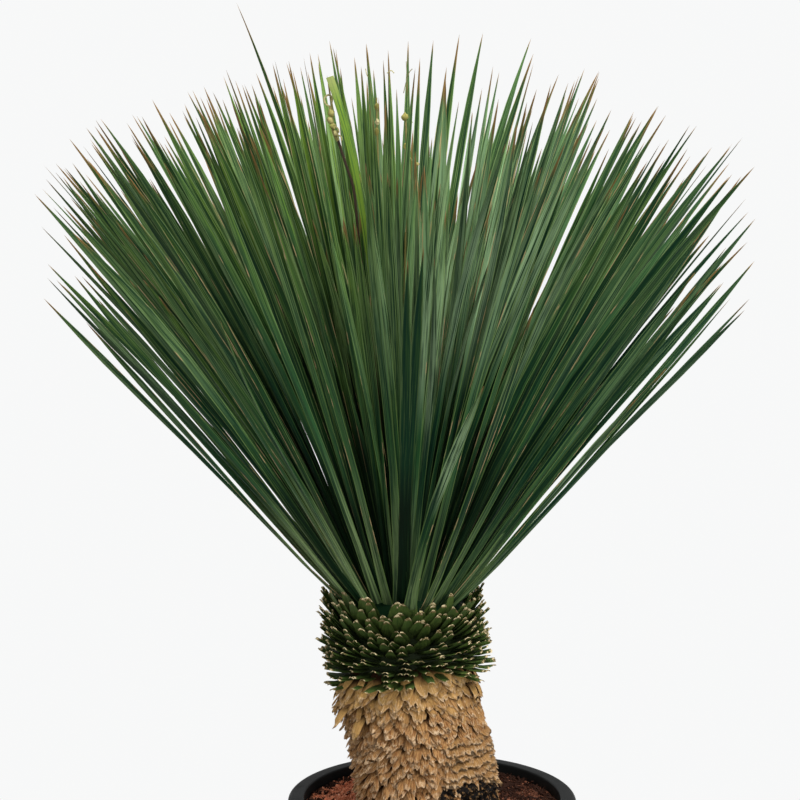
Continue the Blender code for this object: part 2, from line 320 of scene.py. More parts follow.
def potFinish():
    finish = Finish("moulded_pot", potColours, "plastic", Specular_IOR_Level=0.09)
    place = finish.place()
    grain = finish.noise(place, 900, 2, 0.6)
    marked = finish.noise(place, 26, 5, 0.65).step(0.50, 0.72)
    scuffs = finish.noise(finish.stretched(place, (1.0, 1.0, 5.0)), 60, 4, 0.7)
    finish.coat(marked * 0.30, "worn")
    finish.coat(grain.step(0.66, 0.72) * 0.5, "speck")
    finish.coat(scuffs.step(0.66, 0.74) * 0.25, "scuff")
    return finish.complete(0.52 + marked * 0.16 + grain * 0.05, grain, 0.0004, 0.35)


def innerRadius(height):
    # of the pot's hollow at a height
    low = potSizes["baseRadius"] - potSizes["wall"]
    high = rimRadius - potSizes["rimWidth"]
    share = (height - potSizes["floor"]) / (potTop - potSizes["lipDrop"] - potSizes["floor"])
    return blend(low, high, min(share, 1))


def makePot(material):
    floor, base, lip = potSizes["floor"], potSizes["baseRadius"], potSizes["lipEdge"]
    recess, foot, edge = potSizes["recess"], base - potSizes["footWidth"], potSizes["footEdge"]
    under = potTop - potSizes["lipDrop"]
    inside = rimRadius - potSizes["rimWidth"]
    outline = [(0, recess), (foot - recess, recess), (foot, 0), (base - edge, 0), (base - edge / 4, edge / 4)]
    outline += [(base, edge), (innerRadius(under) + potSizes["wall"], under)]
    outline += [(rimRadius - lip, under), (rimRadius, under + lip)]
    for middle, edge, start in (
            (rimRadius - potSizes["shoulder"], potSizes["shoulder"], 0),
            (inside + potSizes["innerEdge"], potSizes["innerEdge"], math.pi / 2)):
        for step in range(potSizes["edgeSteps"] + 1):
            turn = start + math.pi / 2 * step / potSizes["edgeSteps"]
            outline.append((middle + edge * math.cos(turn), potTop - edge + edge * math.sin(turn)))
    outline += [(inside, potTop - potSizes["rimWidth"] / 2), (inside, under)]
    outline += [(innerRadius(floor), floor), (0, floor)]
    bm = emptyMesh()
    lathe(bm, outline, potSizes["steps"])
    pot = addPiece("plant_pot", bm, material, "pot_plastic", "pot", sharp=35)
    bm = bmesh.new()
    for index in range(potSizes["drainCount"]):
        place = outward(math.tau * (index + 0.5) / potSizes["drainCount"]) * potSizes["drainCircle"]
        bmesh.ops.create_cone(
            bm, cap_ends=True, segments=32, radius1=potSizes["drainRadius"], radius2=potSizes["drainRadius"],
            depth=floor * 3, matrix=Matrix.Translation(place))
    drains = bpy.data.objects.new("drains", toMesh(bm, "drains"))
    cut = pot.modifiers.new("drains", "BOOLEAN")
    cut.operation = "DIFFERENCE"
    cut.solver = "EXACT"
    cut.object = drains
    drilled = bpy.data.meshes.new_from_object(pot.evaluated_get(bpy.context.evaluated_depsgraph_get()))
    pot.modifiers.remove(cut)
    pot.data = drilled
    bpy.data.objects.remove(drains)


# Bark soil

barkColours = {
    # dark chips: damp ones, and along the pot's wall the painted shade of the rim
    "wetAndShaded": (0.030, 0.011, 0.006),
    "red": (0.900, 0.285, 0.140),
    "rust": (0.980, 0.500, 0.310),
    "pale": (0.70, 0.50, 0.36),
}
soilSizes = {
    "rings": 26,
    "steps": 160,
    "lumps": 55,  # scale of the ups and downs
    "relief": 0.0022,
    "light": 0.25,  # tone of the bed under the chips
    "sunk": 0.0012,  # of the bed, so that the chips cover it
}
chipSizes = {
    "seed": 5,
    "chips": 4600,
    "fibres": 700,
    "nearest": 0.080,  # to the pot's axis
    "wallGap": 0.003,
    "smallest": (0.0010, 0.0008, 0.0003),  # half length, width and thickness
    "larger": (0.0046, 0.0016, 0.0009),  # what the largest have more
    "fibreLength": (0.003, 0.008),
    "fibreThick": (0.00030, 0.00025),
    "tilt": 0.45,
    "curledFrom": 0.003,  # half length above which a chip is curled
    "paleChips": 0.018,
    "paleFibres": 0.12,
    "darkAt": 0.085,  # middle of the darker ground right of the trunk
    "rimShadeWidth": 0.019,  # width of the painted shade of the rim, a dark edge along the pot's wall
    # darkening above which a chip is dark, at the left and the right; fewer are dark at the left as painted
    # light
    "darkFromLeft": 0.72,
    "darkFromRight": 0.08,
}


def barkFinish():
    finish = Finish("bark_chip", barkColours, "wetAndShaded", Specular_IOR_Level=0.12)
    light, pale, wetAndShaded = finish.attribute("tone")
    grain = finish.noise(finish.stretched(finish.place(), (1.0, 1.0, 1.6)), 520, 4, 0.7)
    finish.coat(light * (0.65 + 0.35 * grain.step(0.3, 0.7)), "red")
    finish.coat(light * grain.step(0.45, 0.7), "rust")
    finish.coat(pale, "pale")
    finish.coat(wetAndShaded, "wetAndShaded")
    return finish.complete(0.7 + grain * 0.25, grain, 0.0008, 0.7)


def soilHeight(x, y):
    inner, outer = trunk["radius"], innerRadius(soilEdge)
    share = limited((outer - math.hypot(x, y)) / (outer - inner))
    rough = noise.fractal(Vector((x, y, 0)) * soilSizes["lumps"], 0.6, 2.1, 4)
    return blend(soilEdge, soilTop, share) + soilSizes["relief"] * rough


def makeSoil(material):
    bottom = potSizes["floor"] + gap
    outer = innerRadius(soilEdge) - gap
    inner = trunk["radius"] * 0.9  # the bed ends inside the trunk
    outline = [(0, bottom), (innerRadius(bottom) - gap, bottom)]
    for ring in range(soilSizes["rings"] + 1):
        outline.append((outer + (inner - outer) * ring / soilSizes["rings"], soilEdge))
    outline.append((0, soilEdge))
    bm = emptyMesh()
    lathe(bm, outline, soilSizes["steps"], tone=(soilSizes["light"], 0, 0))
    for vert in bm.verts:
        if vert.co.z > soilEdge - gap:
            vert.co.z = soilHeight(vert.co.x, vert.co.y) - soilSizes["sunk"]
    addPiece("soil_bed", bm, material, "bark_soil", "soil")


def makeChips(material):
    rng = random.Random(chipSizes["seed"])
    bunch = emptyMesh()
    bm = bmesh.new()
    bmesh.ops.create_cube(bm, size=2.0)
    chip = toMesh(bm)
    outer = innerRadius(soilEdge) - chipSizes["wallGap"]
    small, larger = chipSizes["smallest"], chipSizes["larger"]
    for number in range(chipSizes["chips"] + chipSizes["fibres"]):
        fibre = number >= chipSizes["chips"]
        radius = math.sqrt(rng.uniform(chipSizes["nearest"]**2, outer**2))
        spot = outward(rng.uniform(0, math.tau)) * radius
        spot.z = soilHeight(spot.x, spot.y) + rng.uniform(-0.0006, 0.0016)
        size = rng.random() ** 1.6
        half = Vector((
            small[0] + larger[0] * size,
            small[1] + larger[1] * size * rng.random(),
            small[2] + larger[2] * rng.random()))
        if fibre:
            half = Vector((rng.uniform(*chipSizes["fibreLength"]), *chipSizes["fibreThick"]))
        tilt = Matrix.Rotation(rng.uniform(0, math.tau), 3, "Z")
        slope = Matrix.Rotation(rng.gauss(0, chipSizes["tilt"]), 3, "Y")
        tilt @= slope @ Matrix.Rotation(rng.gauss(0, chipSizes["tilt"]), 3, "X")
        warp = [rng.uniform(0.6, 1.1) for corner in range(8)]
        pale = 1.0 if rng.random() < chipSizes["paleFibres" if fibre else "paleChips"] else 0.0
        # darkening of the chips: damp patches, a darker zone right of the trunk, and along the pot's wall the
        # painted shade of the rim
        dampAndShade = noise.noise(Vector((spot.x, spot.y, 0)) * 45)
        dampAndShade += max(0, 0.9 - abs(spot.x - chipSizes["darkAt"]) * 18) * (spot.x > 0)
        dampAndShade += 0.8 * (radius > outer - chipSizes["rimShadeWidth"])
        wetAndShaded = 1.0 if dampAndShade + rng.gauss(0, 0.20) > chipSizes["darkFromLeft" if spot.x < 0 else "darkFromRight"] else 0.0
        # painted light and shade: chips are lighter at the left and darker at the right and towards the front
        light = (0.60 + 0.40 * rng.random()) * (1 - 0.90 * limited(spot.x * 14))
        light *= 0.70 + 0.30 * limited(spot.y * 20 + 0.5)

        def shape(across, over, along):
            corner = int(across > 0) + 2 * int(over > 0) + 4 * int(along > 0)
            local = Vector((across * half.x, over * half.y, along * half.z)) * warp[corner]
            if half.x > chipSizes["curledFrom"]:
                local.z -= 0.15 * across * across * half.x * 0.5
            return spot + tilt @ local

        addCopy(bunch, chip, shape, rng.random(), (light, pale, wetAndShaded))
    addPiece("bark_chips", bunch, material, "bark_soil", sharp=30)


# Trunk with dead leaf bases

dryColours = {
    "rootShade": (0.040, 0.016, 0.006),
    "brown": (0.250, 0.102, 0.032),
    "tan": (0.580, 0.312, 0.120),
    "gold": (0.680, 0.425, 0.115),
    "straw": (0.880, 0.635, 0.390),
    "char": (0.012, 0.010, 0.009),
}
drySizes = {
    "seed": 12,
    "count": 1500,
    "length": 0.0250,
    "topLength": 0.031,
    "width": 0.0128,
    "thick": 0.0020,
    "flare": math.radians(39),
    "sunk": 0.002,  # of a root in the trunk
    "rag": 0.0034,  # how uneven an end is
    "rough": 0.0005,
    "grain": 0.0002,  # the finer roughness
    "burntSide": Vector((0.62, -0.78, 0)),
}
drySection = ((-1, -0.2), (-0.5, -0.9), (0.1, -0.6), (0.55, -1.0), (1, 0.1), (0.4, 0.7), (-0.45, 0.8))
dryShares = (0, 0.35, 0.62, 0.82, 0.94, 1)
dryWidth = ((0, 0.70), (0.35, 0.95), (0.62, 1.0), (0.82, 0.84), (0.94, 0.52), (1, 0.24))
# level plates of pressed leaf bases, low down at the front right
ledgeSizes = {
    "lowest": 0.026,  # above the soil
    "highest": 0.094,
    "spacing": 0.0092,
    "from": math.radians(-66),
    "to": math.radians(0),
    "half": (0.12, 0.34),  # of the turn that one plate takes up
    "length": 0.0180,
    "flare": math.radians(56),
    "thick": 0.0028,
    "sunk": 0.003,  # of its root in the trunk
    "rough": 0.0007,
    "points": 8,  # either side of a plate's middle
    "bare": 0.90,  # share of the single bases that make room for them
    "burntTo": 0.040,  # above the soil
}
# large dead bases that stick out: way they face, height of their root, length, lean out from hanging
largeBases = (
    (math.pi + 0.45, 0.430, 0.050, 1.00), (math.pi + 0.72, 0.420, 0.046, 0.92),
    (math.pi + 0.15, 0.436, 0.042, 0.80), (-0.45, 0.454, 0.034, 0.85),
    (-0.15, 0.450, 0.030, 0.75), (2.2, 0.440, 0.046, 0.90), (1.2, 0.446, 0.046, 0.95),
)
largeWidth = 0.0190


def dryFinish():
    finish = Finish("dead_leaf_base", dryColours, "brown", Specular_IOR_Level=0.1)
    across, along, number = finish.attribute("spot")
    gold, grey, charred = finish.attribute("tone")
    fibres = finish.noise(finish.vector(across * 2.0 + number * 29, along * 0.7, number * 13), 3.0, 4, 0.75)
    blotch = finish.noise(finish.place(), 210, 4, 0.65)
    side = abs(across)
    finish.coat(fibres.step(0.38, 0.58), "tan")
    finish.coat(gold, finish.mix(fibres, "tan", "gold"))
    finish.coat((blotch * 0.6 + fibres * 0.5 + along * 0.50).step(0.95, 1.10) * (0.5 + number * 0.5), "straw")
    # pale frayed edges near the tip, partly a painted highlight along them
    frayedAndHighlit = (side + along * 0.5 + blotch * 0.4).step(1.35, 1.60) * (0.10 + 0.45 * number)
    finish.coat(frayedAndHighlit * (1.3 - side).step(0.0, 0.2), "straw")
    finish.coat(grey * blotch.step(0.40, 0.60) * 0.18, "brown")
    # painted shade: each dead base is darker towards its root, where the bases above shade it
    finish.coat((0.66 - along).step(0.0, 0.42), "rootShade")
    finish.coat(charred * blotch.step(0.30, 0.50), "char")
    return finish.complete(0.78 + fibres * 0.15, fibres * 1.6 + blotch * 0.7, 0.0020, 1.0)


def addCore(bunch, low, high, rings):
    # the trunk itself, under its leaf bases
    outline = [(0, low)]
    outline += [(trunk["radius"], low + (high - low) * ring / rings) for ring in range(rings + 1)]
    lathe(bunch, outline + [(0, high)], trunk["steps"])
    for vert in bunch.verts:
        vert.co.x += trunkAxis(vert.co.z).x


def addScale(bunch, template, rng, turn, rootHeight, length, flare, swing, width, tone, taper=1.0):
    # one dead leaf base, hanging
    thick = drySizes["thick"] * rng.uniform(0.7, 1.3)
    out, side = outward(turn), outward(turn + math.pi / 2)
    root = trunkAxis(rootHeight + 0.006) + out * (trunk["radius"] - drySizes["sunk"])
    curl = rng.uniform(-0.25, 0.35)
    roll = rng.gauss(0, 0.16)
    rag = [rng.uniform(-1, 1) for corner in range(6)]

    def shape(across, over, along):
        lean = flare * (1.25 - 0.45 * along) + curl * max(0, along - 0.6)
        heading = out * math.sin(lean) - up * math.cos(lean) + side * swing
        ridge = (out * math.cos(lean) + up * math.sin(lean)).normalized()
        wide = side * math.cos(roll) + ridge * math.sin(roll)
        reach = length * along
        if along > 0.9:
            reach += drySizes["rag"] * rag[int((across + 1) * 2.4 + (over > 0))]
        spot = root + heading * reach + wide * across * width / 2 * between(dryWidth, along) ** taper
        spot += ridge * (over * thick * (1 - 0.50 * along) - across * across * 0.0008)
        rough = noise.noise_vector(spot * 240) * drySizes["rough"]
        return spot + (rough + noise.noise_vector(spot * 700) * drySizes["grain"])

    addCopy(bunch, template, shape, rng.random(), tone)


def addLedges(bunch, rng):
    points = ledgeSizes["points"]
    places = range(-points, points + 1)
    section = [(place, 0.5) for place in places] + [(place, -0.5) for place in reversed(places)]
    template = grownBar(section, (0, 0.45, 0.8, 1))
    level = soilTop + ledgeSizes["lowest"]
    while level < soilTop + ledgeSizes["highest"]:
        middle = ledgeSizes["from"] - rng.uniform(0, 0.2)
        while middle < ledgeSizes["to"]:
            half = rng.uniform(*ledgeSizes["half"])
            middle += half * 0.8
            lift = level + rng.gauss(0, 0.0010)
            slope = rng.gauss(0, 0.0010)
            teeth = [rng.uniform(-1, 1) for place in section]
            length = ledgeSizes["length"] * rng.uniform(0.85, 1.1)
            flare = ledgeSizes["flare"] + rng.gauss(0, 0.05)

            def shape(across, over, along):
                side = across / points
                out = outward(middle + side * half)
                reach = length * along * (1 - 0.35 * side**4)
                reach += (drySizes["rag"] if along > 0.9 else 0.0008) * teeth[round(across) + points]
                lean = flare * (1.1 - 0.25 * along)
                heading = out * math.sin(lean) - up * math.cos(lean)
                ridge = out * math.cos(lean) + up * math.sin(lean)
                root = trunkAxis(lift + 0.010 + slope * side) + out * (trunk["radius"] - ledgeSizes["sunk"])
                spot = root + heading * reach + ridge * over * ledgeSizes["thick"] * (1 - 0.5 * along)
                rough = noise.noise_vector(spot * 260) * ledgeSizes["rough"]
                return spot + rough + noise.noise_vector(spot * 800) * drySizes["grain"]

            low = lift < soilTop + ledgeSizes["burntTo"] and -1.15 < middle < -0.35
            burnt = 1.0 if low and rng.random() < 0.8 else 0.0
            addCopy(bunch, template, shape, rng.random(), (rng.uniform(0, 0.3), rng.uniform(0, 0.6), burnt))
            middle += half * 0.8
        level += ledgeSizes["spacing"]


def makeTrunk(material):
    rng = random.Random(drySizes["seed"])
    bunch = emptyMesh()
    addCore(bunch, soilTop - trunk["planted"], bandBase, 12)
    template = grownBar(drySection, dryShares)
    lowest = soilTop + 0.002
    for number in range(drySizes["count"]):
        share = (number + 0.5) / drySizes["count"]
        turn = number * goldenAngle + rng.uniform(-0.06, 0.06)
        out = outward(turn)
        rootHeight = lowest + (bandEdge(turn) + 0.008 - lowest) * share**1.12
        drift = noise.noise(Vector((math.cos(turn) * 2.2, math.sin(turn) * 2.2, share * 3.1)))
        longer = (drySizes["topLength"] - drySizes["length"]) * max(0, share - 0.78) / 0.22
        length = drySizes["length"] + longer
        length *= rng.uniform(0.75, 1.15) * (1 - 0.16 * out.x)
        flare = drySizes["flare"] * rng.uniform(0.82, 1.18) * (1 + 0.25 * drift - 0.18 * out.x)
        swing = drift * 0.40 + 0.22 * out.x + rng.gauss(0, 0.24)
        width = drySizes["width"] * rng.uniform(0.65, 1.10) * (0.86 + 0.45 * share)
        gold = limited((share - 0.70) * 3.0 + rng.uniform(-0.2, 0.3))
        grey = limited(0.75 - share + rng.uniform(-0.3, 0.3))
        burntTo = 0.30 - 0.5 * (1 - out.dot(drySizes["burntSide"]))
        charred = 1.0 if share < burntTo and rng.random() < 0.85 else 0.0
        rise = rootHeight - soilTop + rng.gauss(0, 0.004)
        ledged = ledgeSizes["from"] < math.remainder(turn, math.tau) < ledgeSizes["to"]
        ledged = ledged and ledgeSizes["lowest"] - 0.004 < rise < ledgeSizes["highest"]
        if ledged and rng.random() < ledgeSizes["bare"]:
            continue
        taper = rng.uniform(0.45, 0.85) + 0.35 * (share > 0.7)
        tone = (gold, grey, charred)
        addScale(bunch, template, rng, turn, rootHeight, length, flare, swing, width, tone, taper)
    for turn, rootHeight, length, flare in largeBases:
        swing = rng.gauss(0, 0.1)
        addScale(bunch, template, rng, turn, rootHeight, length, flare, swing, largeWidth, (0.8, 0.1, 0))
    addLedges(bunch, rng)
    addPiece("trunk_dead_bases", bunch, material, "dry_leaf_base", "trunk_tan_leaf_bases", sharp=26)


# Trimmed green leaf bases

stubColours = {
    "deep": (0.014, 0.024, 0.006),
    "green": (0.040, 0.078, 0.014),
    "olive": (0.092, 0.132, 0.028),
    "cut": (0.88, 0.73, 0.43),
    "stain": (0.18, 0.125, 0.045),
}
stubSizes = {
    "seed": 23,
    "count": 560,
    # in the lowest and the highest row
    "length": (0.031, 0.038),
    "width": (0.0135, 0.0172),
    "pitch": (math.radians(-16), math.radians(53)),
    "thick": 0.0054,
    "sunk": 0.006,  # of a root in the trunk
    "cup": 0.0022,
    "rough": 0.0005,
    "oldRows": 0.12,  # share of them, counted from below, that is lighter
}
stubSection = ((-1, 0), (-0.55, -0.75), (0, -1.0), (0.55, -0.75), (1, 0), (0.5, 0.32), (-0.5, 0.32))
stubShares = (0, 0.35, 0.65, 0.88, 0.97, 1)
stubWidth = ((0, 1.0), (0.35, 1.0), (0.65, 0.93), (0.88, 0.68), (0.97, 0.47), (1, 0.36))


def stubFinish():
    finish = Finish("cut_green_base", stubColours, "deep", Specular_IOR_Level=0.2)
    across, along, number = finish.attribute("spot")
    age, light, torn = finish.attribute("tone")
    grain = finish.noise(finish.vector(across * 5 + number * 31, along * 1.2, number * 7), 2.6, 4, 0.7)
    blotch = finish.noise(finish.place(), 260, 3, 0.6)
    finish.coat((along + grain * 0.3).step(0.45, 1.0), "green")
    finish.coat(light * (grain + abs(across) * 0.10).step(0.44, 0.64), "olive")
    finish.coat((along + blotch * 0.16 - 0.02 * age).step(0.975, 1.03), "stain")
    ragged = (blotch - 0.5) * 0.10 + (grain - 0.5) * 0.10
    cut = (along + ragged).step(0.940, 0.972) * (1 - torn * 0.65)
    finish.coat(cut, finish.mix(blotch.step(0.38, 0.58), "stain", "cut"))
    return finish.complete(0.5 + grain * 0.2 + cut * 0.25, grain + blotch * 0.4, 0.0007, 0.6)


def makeGreenBand(material):
    rng = random.Random(stubSizes["seed"])
    bunch = emptyMesh()
    addCore(bunch, bandBase, crownBase, 8)
    template = grownBar(stubSection, stubShares)
    highest = crownBase - 0.002
    for number in range(stubSizes["count"]):
        share = (number + 0.5) / stubSizes["count"]
        turn = number * goldenAngle + rng.uniform(-0.09, 0.09)
        rootHeight = blend(bandEdge(turn) + 0.003, highest, share) + rng.uniform(-0.0018, 0.0018)
        pitch = blend(*stubSizes["pitch"], share**0.85) + rng.gauss(0, math.radians(5.5))
        length = blend(*stubSizes["length"], share) * rng.uniform(0.78, 1.08)
        width = blend(*stubSizes["width"], share) * rng.uniform(0.85, 1.10)
        thick = stubSizes["thick"] * rng.uniform(0.85, 1.1) * (0.6 + 0.4 * share)
        slant = rng.gauss(0, 0.35)
        swing = rng.gauss(0, 0.17)
        out, side = outward(turn), outward(turn + math.pi / 2)
        root = trunkAxis(rootHeight) + out * (trunk["radius"] - stubSizes["sunk"])

        def shape(across, over, along):
            lean = pitch + 0.22 * (along - 0.5)
            heading = out * math.cos(lean) + up * math.sin(lean) + side * swing
            ridge = up * math.cos(lean) - out * math.sin(lean)
            reach = (length + stubSizes["sunk"]) * along + slant * across * 0.004 * (along > 0.9)
            spot = root + heading * reach + side * across * width / 2 * between(stubWidth, along)
            cup = across * across * stubSizes["cup"] * along
            spot += ridge * (over * thick * (1 - 0.72 * along) / 2 - cup)
            return spot + noise.noise_vector(spot * 300) * stubSizes["rough"]

        light = limited(0.38 + 0.22 * share + rng.uniform(-0.25, 0.25))
        if share < stubSizes["oldRows"]:
            light = rng.uniform(0.5, 1.0)
        torn = rng.random() ** 1.5 if rng.random() < 0.75 - 0.35 * share else 0.0
        addCopy(bunch, template, shape, rng.random(), (rng.random(), light, torn))
    addPiece("green_cut_bases", bunch, material, "green_leaf_base", "green_leaf_bases", sharp=50)


# Crown of blades

leafColours = {
    "gloom": (0.003, 0.010, 0.004),
    "deep": (0.005, 0.028, 0.015),
    "green": (0.022, 0.088, 0.028),
    "base": (0.375, 0.500, 0.215),
    "olive": (0.150, 0.255, 0.042),
    "sage": (0.510, 0.740, 0.420),
    "sunlit": (0.230, 0.520, 0.210),
    "fresh": (0.185, 0.310, 0.030),
    "edge": (0.195, 0.325, 0.090),
    "tipEdge": (0.290, 0.440, 0.165),
    "margin": (0.60, 0.44, 0.22),
    "brown": (0.215, 0.130, 0.045),
    "hair": (0.34, 0.21, 0.09),
    "scorch": (0.020, 0.014, 0.008),
}
crown = {
    "seed": 51,
    "count": 500,
    "strays": 44,  # blades that stand away from the fan's edge
    "halfAngle": math.radians(34.0),
    "strayAngle": math.radians(41.0),
    "scatter": math.radians(1.2),
    "frontNarrowing": 0.25,  # how much less the front blades lean out
    "pointDepth": 0.088,  # from the trunk's top down to the point that the blades spread from
    "domeRadius": 0.125,
    "domeEdge": 0.080,
    "domeRings": 8,
    "domeSteps": 40,
    "sink": 0.010,  # of a blade's root below the dome
    "length": 0.664,
    "farthest": 0.443,  # of a blade's tip from the fan's upright axis
    "tall": 0.38,  # share of the blades that reach the fan's outline
    "tallest": (0.945, 1.0),
    "others": (0.62, 0.95),
    "dipTo": 0.14,  # the outline is a little lower from the middle to here, at the right
    "dipShare": 0.75,
    "dipReach": 0.88,
    "arch": math.radians(4.4),
    "strayArch": 0.45,  # share of it that the strays have
    "spring": 0.085,  # how much steeper than straight the outer blades set out
    "rootBend": 0.016,  # how far in from its line an outer blade's root is
    "bow": 0.030,
    "bowLimit": 0.045,
    "wave": 0.0022,
    "sag": 0.006,
    "twist": math.radians(26),
    "width": 0.0116,
    "thick": 0.0022,
    "sideCount": 20,
    "sideFrom": math.radians(26),  # how far over the side blades lean, as seen from the front
    "sideTo": {-1: math.radians(43), 1: math.radians(40.2)},
    "sideLimit": math.radians(45.5),
    "sideSlim": 0.55,
    "lowestFrom": 0.9,  # the left side's last blades, from this share on, reach out farthest
    "litLean": 0.09,  # where the painted sheen makes blades palest, to the right of the middle
    "litWidths": (0.13, 0.165),  # left and right of there
    "freshLean": -0.08,  # where blades are freshest
    "freshWidth": 0.13,
    # left, right and low edge of what is kept clear before each flower stalk, and how far back that goes
    "kept": ((-0.130, -0.078, 1.030), (-0.048, -0.016, 1.085)),
    "keptFrom": -0.12,
    # ways, in degrees as seen from the front, in which light comes through between the blades
    "slits": (-40.4, -36.9, 35.3, 38.0),
    "slitHalf": 1.5,
    # openings higher up: the way and half width in degrees, and how far up they start
    "openings": ((-12.7, 0.42, 0.545), (-17.5, 0.28, 0.620), (8.2, 0.45, 0.540), (13.1, 0.28, 0.560)),
}
fullReach = crown["domeRadius"] + crown["length"]
# blades that reach above the rest: the way they lean in degrees as seen from the front, and their reach
tallBlades = (
    (-10.8, 0.785), (-6.2, 0.790), (-3.2, 0.785), (-1.3, 0.775), (0.5, 0.785), (1.6, 0.765), (2.7, 0.787),
    (4.9, 0.797), (6.9, 0.803), (10.9, 0.803), (11.5, 0.785), (14.4, 0.770), (17.5, 0.785), (20.5, 0.790),
    (22.0, 0.780), (23.5, 0.770), (-13.6, 0.770), (-16.2, 0.780), (-20.5, 0.790), (-23.0, 0.775),
    (-27.0, 0.780), (-30.5, 0.775), (26.5, 0.770), (-36.5, 0.745), (-35.2, 0.735), (-34.5, 0.720),
    (-21.3, 0.745), (-19.6, 0.752), (-18.8, 0.735), (12.2, 0.735), (19.2, 0.735), (20.9, 0.725),
    (21.6, 0.745), (29.2, 0.700), (30.4, 0.690), (31.4, 0.672), (32.3, 0.655), (33.4, 0.640),
)
# two dark blades at the middle of the front: way that they lean, length and bow
darkBlades = ((-1.553, 0.562, 0.014), (-1.566, 0.546, 0.003))
bladeSection = ((-1, 0), (0, -1.0), (1, 0), (0, 0.25))
bladeShares = (0, 0.05, 0.15, 0.33, 0.52, 0.68, 0.80, 0.88, 0.93, 0.96, 0.98, 1)
bladeWidth = (
    (0, 1.55), (0.05, 1.32), (0.15, 1.05), (0.33, 0.90), (0.52, 0.92), (0.68, 0.98),
    (0.80, 0.90), (0.88, 0.64), (0.93, 0.38), (0.96, 0.22), (0.98, 0.15), (1, 0.04),
)
bladeDepth = ((0, 1.5), (0.15, 1.15), (0.5, 0.9), (0.8, 0.7), (0.93, 0.4), (1, 0.1))


def leafFinish():
    finish = Finish("living_blade", leafColours, "deep", Specular_IOR_Level=0.04)
    across, along, number = finish.attribute("spot")
    hidden, sheenAndBloom, fresh = finish.attribute("tone")
    streaks = finish.noise(finish.vector(across * 0.8 + number * 37, along * 1.4, number * 11), 3.0, 3, 0.7)
    lines = finish.noise(finish.vector(across * 1.7 + number * 53, along * 1.8, number * 5), 3.0, 2, 0.6)
    patches = finish.noise(finish.vector(across * 0.6 + number * 23, along * 9, number), 1.0, 3, 0.6)
    side = abs(across)
    x, y, z = finish.split(finish.place())
    # painted light and shade by side: rightward weakens the olive and the pale feet at the right, and
    # strengthens the sunlit blades there
    rightward = x.step(-0.17, 0.06)
    streaked = streaks.step(0.41, 0.57)
    lined = lines.step(0.42, 0.58)
    covered = hidden.step(0.02, 0.20)
    high = along.step(0.45, 0.85)
    finish.coat(streaked, "green")
    # olive on the upper blades, painted weaker at the right as painted shade
    finish.coat(along.step(0.50, 0.92) * (0.25 + 0.65 * lined) * (1.15 - 0.80 * rightward), "olive")
    # painted light: the feet of the outer blades are paler, most at the left and least at the right
    litFeet = (1 - covered) * (0.42 - along).step(0.0, 0.30) * (0.4 + 0.6 * streaked)
    finish.coat(litFeet * (0.70 + 0.40 * number - 0.56 * rightward), "base")
    # painted sheen: pale sage streaks up the blades, strongest on those right of the middle that face the
    # light, with some random bloom
    sheenStreaks = (lines * 0.45 + streaks * 0.65).step(0.44, 0.58) * along.step(0.42, 0.68)
    finish.coat(sheenAndBloom * (sheenStreaks * (1 - 0.66 * along.step(0.76, 0.95))), "sage")
    finish.coat(fresh * along.step(0.10, 0.50) * (0.3 + 0.6 * lined), "fresh")
    # painted shade: one half of each folded blade is darker, as if turned from the light, on either side by its
    # number
    turned = number.step(0.49, 0.51) * 2 - 1
    shadedHalf = (across * turned).step(-0.04, 0.06) * (0.25 + 0.60 * patches.step(0.35, 0.65))
    finish.coat(shadedHalf * (1 - 0.45 * sheenAndBloom), "deep")
    # about a third of the blades are darker and a third lighter
    own = number.math("FRACT", number * 7.3)
    grown = along.step(0.15, 0.40)
    finish.coat((0.36 - own).step(0.0, 0.12) * grown * 0.42, "deep")
    # sunlit blades, painted lighter still at the right
    finish.coat(own.step(0.66, 0.74) * grown * (0.09 + 0.06 * rightward), "sunlit")
    # lines along the blade, and its pale or worn margins
    finish.coat((0.42 - lines).step(0.0, 0.05) * (0.55 + 0.25 * high), "deep")
    edge = side.step(0.74, 0.90)
    edgeTone = finish.mix(high, "edge", "tipEdge")
    finish.coat(lines.step(0.59, 0.66) * (0.35 + 0.25 * high), edgeTone)
    finish.coat(edge * (0.25 + 0.65 * number), edgeTone)
    finish.coat(edge * (patches + number * 0.2).step(0.70, 0.75), "margin")
    finish.coat((patches + lines * 0.3).step(0.87, 0.93) * number * 0.8, "scorch")
    finish.coat((0 - fresh).step(0.0, 1.0), "deep")  # a fresh of less than nought is that of a dark blade
    # the shade among the blades, at their feet and towards the fan's sides
    shade = (0.32 + 0.34 * hidden - along).step(0.0, 0.20) * covered * (0.96 - 0.22 * lined)
    finish.coat(shade, "gloom")
    finish.coat(abs(x + 0.02).step(0.16, 0.34) * 0.42, "deep")
    # dry tips
    dryFrom = 0.972 - number * 0.055
    dry = (along + (side - 0.4) * 0.02 + (patches - 0.5) * 0.02).step(dryFrom, dryFrom + 0.045)
    finish.coat(dry, "brown")
    finish.coat(along.step(0.975, 0.995), "hair")
    return finish.complete(0.42 + lines * 0.16 + sheenAndBloom * 0.10 + dry * 0.2, lines, 0.0006, 0.6)


def fanPoint():
    return trunkAxis(crownBase) - up * crown["pointDepth"]


def frontRoll(turn):
    # how far a blade has to roll to turn its flat side to the front
    return -math.remainder(turn + math.pi / 2, math.pi)


def alongBlade(angle, turn, arch, distance):
    # an arched blade's lean and middle at a distance from the point that the fan spreads from
    reach = distance / fullReach
    bent = angle + arch * reach * reach
    return bent, fanPoint() + distance * (outward(turn) * math.sin(bent) + up * math.cos(bent))


